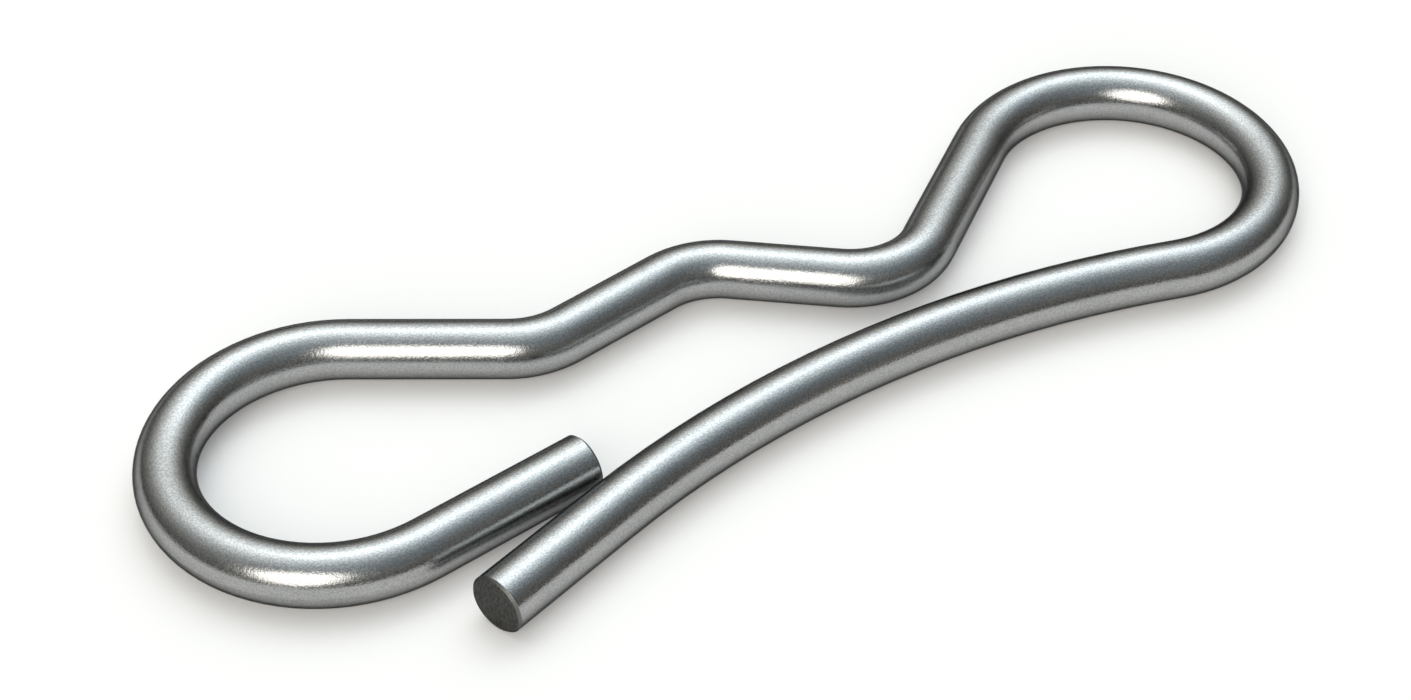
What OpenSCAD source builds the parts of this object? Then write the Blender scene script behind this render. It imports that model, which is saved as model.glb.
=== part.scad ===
// Hitch R clip pin: one round spring wire, bent in one plane, with a loop at each end.
// The straight end of the long leg goes through the cross hole of a shaft, and the spring
// leg snaps over the shaft and holds it in the seat under the crest bend.
//
// The clip lies flat with its lowest line at z = 0. X runs along the line of the two loop
// centres, away from the cut ends. All sizes are in mm, and angles in degrees. The radii of
// the loops and of the three bends are inside ones, and every gap is clear of the wire.

/* [Wire] */
// Diameter of the spring wire
wire_d = 5; // [4:0.1:5.6]
// Bevel on the rim of both cut ends
edge_break = 0.2; // [0.1:0.05:0.5]

/* [Loops] */
// Distance between the two loop centres
loop_pitch = 75.6; // [72:0.1:80]
// Inside radius of both loops
loop_in_r = 10.6; // [9.5:0.1:12]

/* [Long leg] */
// Radius of the leg's gentle bow, to the middle of the wire
bow_r = 92.5; // [80:0.5:130]
// How far the bow runs on past the short leg's tip before the leg turns straight
bow_past_tip = 2.3; // [1:0.1:6]
// Length of the straight end that enters the cross hole, to its cut face
lead_len = 13.1; // [9:0.1:18]

/* [Short leg] */
// Angle of the short leg to the line of the loop centres
short_leg_angle = 10.6; // [8:0.1:13]
// Length of the straight short leg, from the near loop to its cut face
short_leg_len = 15.1; // [12:0.1:17]
// Clear gap from the corner of the short leg's tip to the long leg
tip_gap = 0.45; // [0.3:0.05:1.5]

/* [Spring leg] */
// Inside radius of the three bends
bend_in_r = 4.9; // [4:0.1:6]
// Position of the pinch bend along X, from midway between the loops
pinch_x = 13.1; // [12:0.1:15]
// Clear gap from the pinch bend to the long leg, which the shaft snaps through
pinch_gap = 3.6; // [2.5:0.05:5]
// Position of the crest bend over the shaft along X
crest_x = -3.2; // [-4.5:0.1:-1.5]
// Clear height of the shaft seat, from the long leg up to the crest bend
crest_gap = 13; // [12:0.05:14.5]
// Position of the shoulder bend beside the shaft along X
shoulder_x = -16.5; // [-18.5:0.1:-15]
// Clear height from the long leg up to the shoulder bend
shoulder_gap = 12.8; // [11.5:0.05:14]

/* [Hidden] */
$fn = 96;
wire_r = wire_d / 2;
loop_r = loop_in_r + wire_r;
bend_r = bend_in_r + wire_r;
longest_bend = 150;

function unit(a) = [cos(a), sin(a)];
// The unit vector to the right of a heading.
function right(a) = [sin(a), -cos(a)];
function bearing(v) = atan2(v[1], v[0]);
function full_turn(a) = a < 0 ? a + 360 : a;
// The lower crossing of two circles, the first of which lies to the left.
function lower_crossing(a, ra, b, rb) =
    let (d = norm(b - a), t = (ra * ra - rb * rb + d * d) / (2 * d))
    a + t * unit(bearing(b - a)) + sqrt(ra * ra - t * t) * right(bearing(b - a));
// Height of a point at x that lies a distance d from the middle of the bow.
function over_bow(x, d) = bow_c[1] + sqrt(d * d - (x - bow_c[0]) * (x - bow_c[0]));
// The straight that joins two bends which turn opposite ways: its heading and its length.
// The turn is 1 where the first bend goes left, and -1 where it goes right.
function tie_heading(a, ra, b, rb, turn) =
    full_turn(bearing(b - a) + turn * asin((ra + rb) / norm(b - a)));
function tie_len(a, ra, b, rb) = sqrt(pow(norm(b - a), 2) - pow(ra + rb, 2));

near_c = [-loop_pitch / 2, 0];
far_c = [loop_pitch / 2, 0];

// The short leg's cut face, and its corner beside the long leg.
short_end = near_c + loop_r * right(short_leg_angle) + short_leg_len * unit(short_leg_angle);
short_corner = short_end + wire_r * right(short_leg_angle);

// The bow runs into the far loop and passes the short leg's corner at the tip gap.
bow_c = lower_crossing(short_corner, bow_r + wire_r + tip_gap, far_c, bow_r + loop_r);
bow_to = bearing(far_c - bow_c);
bow_from = bearing(short_corner - bow_c) + bow_past_tip / bow_r * 180 / PI;

// The long leg's heading and the middle of its cut face.
lead_angle = bow_from - 90;
lead_end = bow_c + bow_r * unit(bow_from) - lead_len * unit(lead_angle);

// Middles of the three bends, each set by its clear gap from the long leg.
pinch_c = [pinch_x, over_bow(pinch_x, bow_r + wire_d + pinch_gap + bend_r)];
crest_c = [crest_x, over_bow(crest_x, bow_r + wire_d + crest_gap - bend_r)];
shoulder_c = [shoulder_x, over_bow(shoulder_x, bow_r + wire_d + shoulder_gap + bend_r)];

// Headings along the spring leg: into the pinch, to the crest, past it, into the near loop.
head_1 = tie_heading(far_c, loop_r, pinch_c, bend_r, 1);
head_2 = tie_heading(pinch_c, bend_r, crest_c, bend_r, -1);
head_3 = tie_heading(crest_c, bend_r, shoulder_c, bend_r, 1);
head_4 = tie_heading(shoulder_c, bend_r, near_c, loop_r, -1);

// The lengths of wire meet exactly where the sine and cosine of a turn are both whole
// millionths, so each turn is trimmed to the nearest such angle, by hundredths of a degree.
function misfit(c) = let (s = sqrt(1e12 - c * c)) abs(s - round(s));
function trimmed(a) =
    let (near = [for (k = [-60:60]) round(cos(a) * 1e6) + k],
         off = [for (c = near) misfit(c)])
    sign(a) * acos(near[search(min(off), off)[0]] / 1e6);

// The clip's reach across X: the far loop's outside, and the rim of the long leg's cut end.
y_top = loop_r + wire_r;
y_low = min(-y_top, (lead_end + edge_break * unit(lead_angle) + wire_r * right(lead_angle))[1]);

assert(bend_in_r > wire_r / 2, "the bends are too sharp for the wire");
assert(norm(crest_c - pinch_c) > 2 * bend_r + 0.5, "the pinch and crest bends run together");
assert(norm(crest_c - shoulder_c) > 2 * bend_r + 0.5, "the crest and shoulder bends run together");

// The wire is drawn from one cut end to the other. Each length starts where the last one
// stopped, heads along its own X, and hands the place it has reached to its children.

// A straight length.
module straight(len) {
    rotate([0, 90, 0]) cylinder(h = len, r = wire_r);
    translate([len, 0, 0]) children();
}

// The bevelled rim of a cut end, from radius r1 to radius r2.
module rim(r1, r2) {
    rotate([0, 90, 0]) cylinder(h = edge_break, r1 = r1, r2 = r2);
    translate([edge_break, 0, 0]) children();
}

// Carries its children round a bend of radius r, to the left where angle is above 0.
module round_bend(r, angle) {
    side = sign(angle) * r;
    translate([0, side, 0]) rotate([0, 0, angle]) translate([0, -side, 0]) children();
}

// Everything ahead of the place the wire has reached, as far as a bend of radius r goes.
module ahead(r) {
    translate([0, -3 * r, -3 * r]) cube(6 * r);
}

// A bent length: the part of a ring between two square cuts. A long one is made in two.
module bend(r, angle) {
    if (abs(angle) > longest_bend)
        bend(r, angle / 2) bend(r, angle / 2) children();
    else {
        turn = trimmed(angle);
        difference() {
            intersection() {
                translate([0, sign(turn) * r, 0])
                    rotate_extrude() translate([r, 0]) circle(r = wire_r);
                ahead(r);
            }
            round_bend(r, turn) ahead(r);
        }
        round_bend(r, turn) children();
    }
}

// The long leg: its straight end, then the gentle bow up to the far loop.
module long_leg() {
    rim(wire_r - edge_break, wire_r) straight(lead_len - edge_break)
        bend(bow_r, bow_to - bow_from) children();
}

// The far loop, which turns the wire back towards the shaft.
module far_loop() {
    bend(loop_r, head_1 - bow_to + 90) children();
}

// The spring leg: the pinch, crest and shoulder bends, joined by straights.
module spring_leg() {
    straight(tie_len(far_c, loop_r, pinch_c, bend_r)) bend(bend_r, head_2 - head_1)
        straight(tie_len(pinch_c, bend_r, crest_c, bend_r)) bend(bend_r, head_3 - head_2)
            straight(tie_len(crest_c, bend_r, shoulder_c, bend_r)) bend(bend_r, head_4 - head_3)
                straight(tie_len(shoulder_c, bend_r, near_c, loop_r)) children();
}

// The near loop, which turns the wire in to the short leg.
module near_loop() {
    bend(loop_r, short_leg_angle + 360 - head_4) children();
}

// The short leg, whose tip stops beside the long leg.
module short_leg() {
    straight(short_leg_len - edge_break) rim(wire_r, wire_r - edge_break);
}

// The whole clip.
module wire_clip() {
    color([0.46, 0.465, 0.465])
        translate([lead_end[0], lead_end[1] - (y_top + y_low) / 2, wire_r])
            rotate([0, 0, lead_angle])
                long_leg() far_loop() spring_leg() near_loop() short_leg();
}

wire_clip();
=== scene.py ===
"""Looks of a hitch R clip pin: one round spring-steel wire that lies flat on a pale floor.

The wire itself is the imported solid. This script gives it a drawn-wire steel, a plain studio
and the camera.
"""

import math

import bpy
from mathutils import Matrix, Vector

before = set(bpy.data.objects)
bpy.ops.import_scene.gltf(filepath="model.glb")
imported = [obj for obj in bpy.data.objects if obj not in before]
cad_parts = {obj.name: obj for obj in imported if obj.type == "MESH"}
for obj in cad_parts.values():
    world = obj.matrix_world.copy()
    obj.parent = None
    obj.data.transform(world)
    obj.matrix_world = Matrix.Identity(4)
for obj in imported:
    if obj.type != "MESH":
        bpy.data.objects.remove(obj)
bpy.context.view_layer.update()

MM = 0.001
WIRE_RADIUS = 2.5  # in mm

# The camera: where it stands, what it looks at, and its lens on a 36 mm sensor.
CAMERA_AT = Vector((-89.593, -152.452, 153.108)) * MM
CAMERA_AIM = Vector((-5.720, 1.043, 2.5)) * MM
CAMERA_LENS = 71.425
SENSOR_WIDTH = 36.0
CLIP_NEAR, CLIP_FAR = 0.005, 20.0

# The two cut faces, in mm: the middle of each, and the way it faces.
CUT_ENDS = (
    ((-33.469, -17.098, 2.5), (-0.932814, -0.360358, 0.0)),
    ((-20.548, -6.341, 2.5), (0.982935, 0.183951, 0.0)),
)
# What belongs to a cut end, in mm: its reach from the middle of the face, and how far back
# from the face its bevel goes and the flat of it goes. Each fades from the first to the second.
CUT_REACH = (2.62, 2.58)
BEVEL_BACK = (-0.26, -0.16)
FLAT_BACK = (-0.03, -0.01)

# Colours of the steel, from its darker grain to its lighter, and of its sheared faces.
WALL_TONES = ((0.307, 0.313, 0.316, 1.0), (0.411, 0.411, 0.407, 1.0))
FACE_TONES = ((0.078, 0.078, 0.075, 1.0), (0.134, 0.134, 0.128, 1.0))
# The bevel round each cut face is the same steel, painted darker than the wall so that its
# highlight stays dim: painted shade.
BEVEL_PAINTED_SHADE = (0.15, 0.15, 0.145, 1.0)
EDGE_TINT = (0.12, 0.12, 0.12, 1.0)
WALL_ROUGHNESS = (0.175, 0.23)
CUT_ROUGHNESS = 0.42
RELIEF_DEPTH = 0.018 * MM
# The draw lines run along the wire: this much of a length along it counts in their pattern.
LINE_STRETCH = 0.05
# The shear lines of the cut faces run up and down: this much of a height counts.
SHEAR_STRETCH = 0.35

# The studio. Angles are in degrees: to the right of the camera's heading, and above the floor.
# Levels are against 1 for white.
SOFT_BOXES = (  # to the right, above, reach from middle to edge, level
    (25.0, 51.0, 65.0, 2.0),
    (-16.0, 64.0, 87.0, 2.75),
)
BOX_FALL = 3.4
LAMP_AT, LAMP_EDGE, LAMP_LEVEL = (-164.0, 30.5), (25.5, 19.0), 3.2
STRIP_AT, STRIP_EDGE, STRIP_LEVEL = (117.0, 7.0), (12.0, 3.0), 0.14
# The room's level at the horizon, its rise to overhead, and how the rise falls off to the
# right and to the front.
ROOM_LOW, ROOM_RISE, ROOM_RIGHT, ROOM_FRONT, ROOM_LEAST = 0.095, 0.33, -0.05, -0.27, 0.03
OVERALL = 1.12
WARM_LOW = (1.04, 1.02, 0.94, 1.0)
COOL_HIGH = (0.885, 1.0, 1.065, 1.0)
LAMP_TINT = (1.04, 1.0, 0.93)

# The floor: its colour, the faint glow that makes it white, and half its width in metres.
FLOOR_COLOUR = (0.82, 0.796, 0.78, 1.0)
FLOOR_GLOW = 0.12
FLOOR_HALF = 3.0

WHITE = (1.0, 1.0, 1.0, 1.0)
# Most of a noise lies between these.
NOISE_LOW, NOISE_HIGH = 0.3, 0.7
# Keeps a sine or cosine inside the range of its inverse.
JUST_UNDER_1 = 0.99999


class Graph:
    """Short names for building a node tree."""

    def __init__(self, tree):
        self.tree = tree
        tree.nodes.clear()

    def add(self, kind, inputs=(), **settings):
        node = self.tree.nodes.new(kind)
        for key, value in settings.items():
            setattr(node, key, value)
        for key, value in dict(inputs).items():
            self.put(value, node.inputs[key])
        return node

    def put(self, value, socket):
        if isinstance(value, bpy.types.NodeSocket):
            self.tree.links.new(value, socket)
        else:
            socket.default_value = value

    def math(self, operation, a, b=0.0):
        return self.add("ShaderNodeMath", {0: a, 1: b}, operation=operation).outputs[0]

    def plus(self, a, b):
        return self.math("ADD", a, b)

    def times(self, a, b):
        return self.math("MULTIPLY", a, b)

    def most(self, a, b):
        return self.math("MAXIMUM", a, b)

    def vec(self, operation, a, b=(0.0, 0.0, 0.0)):
        node = self.add("ShaderNodeVectorMath", {0: a, 1: b}, operation=operation)
        return node.outputs["Value" if operation in ("DOT_PRODUCT", "DISTANCE") else "Vector"]

    def scaled(self, vector, factor):
        node = self.add("ShaderNodeVectorMath", {0: vector}, operation="SCALE")
        self.put(factor, node.inputs["Scale"])
        return node.outputs["Vector"]

    def join(self, x, y, z):
        return self.add("ShaderNodeCombineXYZ", {0: x, 1: y, 2: z}).outputs[0]

    def split(self, vector):
        return self.add("ShaderNodeSeparateXYZ", {0: vector}).outputs

    def ramp(self, value, low, high, to_low=0.0, to_high=1.0, smooth=True):
        node = self.add(
            "ShaderNodeMapRange",
            {0: value, 1: low, 2: high, 3: to_low, 4: to_high},
            interpolation_type="SMOOTHSTEP" if smooth else "LINEAR",
        )
        return node.outputs[0]

    def noise(self, vector, scale, detail, rough):
        node = self.add(
            "ShaderNodeTexNoise",
            {"Vector": vector, "Scale": scale, "Detail": detail, "Roughness": rough},
        )
        return node.outputs["Fac"]

    def noise_to(self, noise, low, high):
        """A noise spread over the range from low to high."""
        return self.ramp(noise, NOISE_LOW, NOISE_HIGH, low, high)

    def mix(self, factor, a, b):
        """A colour between a and b."""
        node = self.add("ShaderNodeMix", data_type="RGBA")
        self.put(factor, node.inputs[0])
        self.put(a, node.inputs[6])
        self.put(b, node.inputs[7])
        return node.outputs[2]

    def choose(self, factor, a, b):
        """The shader a, or b where the factor is 1."""
        node = self.add("ShaderNodeMixShader", {0: factor, 1: a, 2: b})
        return node.outputs[0]


def cut_ends(g, at):
    """Where the wire is cut, at a place in mm: 1 on face and bevel, and 1 on the face alone."""
    cut, flat = 0.0, 0.0
    for middle, facing in CUT_ENDS:
        near = g.ramp(g.vec("DISTANCE", at, middle), *CUT_REACH, smooth=False)
        past = g.vec("DOT_PRODUCT", g.vec("SUBTRACT", at, middle), facing)
        cut = g.most(cut, g.times(near, g.ramp(past, *BEVEL_BACK, smooth=False)))
        flat = g.most(flat, g.times(near, g.ramp(past, *FLAT_BACK, smooth=False)))
    return cut, flat


def steel():
    """Drawn spring steel, with grain all over it, dull sheared faces, and a painted shade on
    the bevel round each face.
    """
    material = bpy.data.materials.new("spring_steel_drawn")
    material.use_nodes = True
    g = Graph(material.node_tree)
    at = g.scaled(g.add("ShaderNodeTexCoord").outputs["Object"], 1.0 / MM)
    x, y, z = g.split(at)
    tilt = g.split(g.add("ShaderNodeNewGeometry").outputs["Normal"])[2]
    # The way round the wire's section, in mm, from halfway up it.
    around = g.times(g.math("ARCSINE", g.times(tilt, JUST_UNDER_1)), WIRE_RADIUS)

    # Draw lines: fine across the wire, long along it.
    lines_at = g.join(around, g.times(x, LINE_STRETCH), g.times(y, LINE_STRETCH))
    fine_lines = g.noise(lines_at, scale=9.0, detail=3.0, rough=0.6)
    broad_at = g.vec("ADD", lines_at, (31.0, 7.0, 2.0))
    broad_lines = g.noise(broad_at, scale=2.2, detail=2.0, rough=0.5)
    # Grain, the matt tooth that heat treatment leaves all over, and slow clouding.
    grain = g.noise(at, scale=6.5, detail=1.0, rough=0.6)
    cloud = g.noise(at, scale=0.35, detail=3.0, rough=0.55)
    # Shear lines on the cut faces.
    shear_at = g.join(g.times(z, SHEAR_STRETCH), x, y)
    shear = g.noise(shear_at, scale=7.0, detail=3.0, rough=0.6)
    cut, flat = cut_ends(g, at)

    tone = g.plus(g.noise_to(fine_lines, -0.12, 0.12), g.noise_to(cloud, -0.10, 0.10))
    tone = g.plus(tone, g.noise_to(grain, -0.55, 0.55))
    wall = g.mix(g.plus(tone, 0.5), *WALL_TONES)
    face = g.mix(g.noise_to(shear, 0.0, 1.0), *FACE_TONES)
    # Wall, then bevel and face at the cut ends; the bevel's darker colour is painted shade.
    colour = g.mix(cut, wall, g.mix(flat, BEVEL_PAINTED_SHADE, face))

    rough = g.plus(g.noise_to(broad_lines, *WALL_ROUGHNESS), g.noise_to(grain, -0.02, 0.02))
    rough = g.add("ShaderNodeMix", {0: cut, 2: rough, 3: CUT_ROUGHNESS}).outputs[0]

    relief = g.plus(g.times(grain, 0.65), g.times(fine_lines, 0.35))
    relief = g.plus(relief, g.times(g.times(shear, cut), 2.5))
    bump = g.add(
        "ShaderNodeBump", {"Strength": 1.0, "Distance": RELIEF_DEPTH, "Height": relief}
    )

    shader = g.add(
        "ShaderNodeBsdfPrincipled",
        {"Base Color": colour, "Metallic": 1.0, "Roughness": rough,
         "Normal": bump.outputs[0], "Specular Tint": EDGE_TINT},
    )
    g.add("ShaderNodeOutputMaterial", {0: shader.outputs[0]})
    return material


def toward(azimuth, elevation):
    """A direction by its angle to the right of the camera's heading, and above the floor."""
    ahead = (CAMERA_AIM - CAMERA_AT).to_2d().normalized()
    right = Vector((ahead.y, -ahead.x))
    a, e = math.radians(azimuth), math.radians(elevation)
    level = ahead * math.cos(a) + right * math.sin(a)
    return (level.x * math.cos(e), level.y * math.cos(e), math.sin(e))


def studio():
    """A dim room with two soft boxes beyond the clip, and a round lamp behind the camera."""
    world = bpy.data.worlds.new("studio")
    bpy.context.scene.world = world
    world.use_nodes = True
    g = Graph(world.node_tree)
    way = g.vec("NORMALIZE", g.add("ShaderNodeTexCoord").outputs["Generated"])
    height = g.split(way)[2]

    def away_from(azimuth, elevation):
        """Angle in degrees from a direction of the studio."""
        near = g.times(g.vec("DOT_PRODUCT", way, toward(azimuth, elevation)), JUST_UNDER_1)
        return g.times(g.math("ARCCOSINE", near), 180.0 / math.pi)

    def soft_box(azimuth, elevation, reach, level):
        """The light of a soft box, which fades from its middle to its edge."""
        inside = g.ramp(away_from(azimuth, elevation), reach, 0.0, smooth=False)
        return g.times(g.math("POWER", inside, BOX_FALL), level)

    # The room is darker low down, beyond the clip and to the right.
    side = g.vec("DOT_PRODUCT", way, toward(90.0, 0.0))
    front = g.vec("DOT_PRODUCT", way, toward(0.0, 0.0))
    rise = g.times(g.math("ARCSINE", g.times(height, JUST_UNDER_1)), 2.0 / math.pi)
    drift = g.plus(g.times(side, ROOM_RIGHT), g.times(front, ROOM_FRONT))
    room = g.plus(ROOM_LOW, g.times(rise, g.plus(drift, ROOM_RISE)))
    room = g.most(room, ROOM_LEAST)
    boxes = g.plus(*(soft_box(*row) for row in SOFT_BOXES))
    # The round lamp has a crisp edge. The strip is faint, low down and to the right.
    lamp = g.times(g.ramp(away_from(*LAMP_AT), *LAMP_EDGE), LAMP_LEVEL)
    strip = g.ramp(away_from(*STRIP_AT), *STRIP_EDGE, 0.0, STRIP_LEVEL)

    # The room overhead is cool, most of all to the right, and the soft boxes are a little
    # less so. The lamp and what lies low are warm.
    coolness = g.times(g.ramp(height, 0.2, 0.85), g.plus(0.85, g.times(side, 0.5)))
    coolness = g.math("SUBTRACT", coolness, g.times(boxes, 0.09))
    tint = g.mix(coolness, WARM_LOW, COOL_HIGH)
    soft = g.scaled(tint, g.times(g.plus(room, boxes), OVERALL))
    light = g.vec("ADD", soft, g.scaled(LAMP_TINT, g.plus(lamp, strip)))

    # Beyond the floor's far edge the camera sees white. The steel sees the boxes and the lamp.
    path = g.add("ShaderNodeLightPath").outputs
    shown = g.most(path["Is Camera Ray"], path["Is Transmission Ray"])
    glow = g.add("ShaderNodeBackground", {"Color": light, "Strength": 1.0})
    white = g.add("ShaderNodeBackground", {"Color": WHITE, "Strength": 1.0})
    seen = g.choose(shown, glow.outputs[0], white.outputs[0])
    g.add("ShaderNodeOutputWorld", {0: seen})


def floor():
    """A pale matt floor, which keeps the clip's shadow."""
    h = FLOOR_HALF
    corners = [(-h, -h, 0.0), (h, -h, 0.0), (h, h, 0.0), (-h, h, 0.0)]
    mesh = bpy.data.meshes.new("floor")
    mesh.from_pydata(corners, [], [(0, 1, 2, 3)])
    ground = bpy.data.objects.new("floor", mesh)
    bpy.context.scene.collection.objects.link(ground)
    material = bpy.data.materials.new("pale_floor")
    material.use_nodes = True
    g = Graph(material.node_tree)
    # A faint glow lifts it to white for the camera, and as the steel shows it, and adds no
    # light to the clip otherwise.
    path = g.add("ShaderNodeLightPath").outputs
    shown = g.most(path["Is Camera Ray"], path["Is Glossy Ray"])
    shown = g.most(shown, path["Is Transmission Ray"])
    matt = g.add("ShaderNodeBsdfDiffuse", {"Color": FLOOR_COLOUR}).outputs[0]
    glow = g.add("ShaderNodeEmission", {"Color": WHITE, "Strength": FLOOR_GLOW}).outputs[0]
    both = g.add("ShaderNodeAddShader", {0: matt, 1: glow}).outputs[0]
    g.add("ShaderNodeOutputMaterial", {0: g.choose(shown, matt, both)})
    mesh.materials.append(material)


def camera():
    """The camera, at the photograph's viewing angle."""
    lens = bpy.data.cameras.new("camera")
    lens.sensor_fit = "HORIZONTAL"
    lens.sensor_width = SENSOR_WIDTH
    lens.lens = CAMERA_LENS
    lens.clip_start = CLIP_NEAR
    lens.clip_end = CLIP_FAR
    eye = bpy.data.objects.new("camera", lens)
    eye.location = CAMERA_AT
    eye.rotation_euler = (CAMERA_AIM - CAMERA_AT).to_track_quat("-Z", "Y").to_euler()
    bpy.context.scene.collection.objects.link(eye)
    bpy.context.scene.camera = eye


camera()
studio()
floor()

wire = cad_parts["wire_clip"]
finish = steel()
for slot in wire.material_slots:
    slot.material = finish

bpy.context.scene.view_settings.view_transform = "Standard"
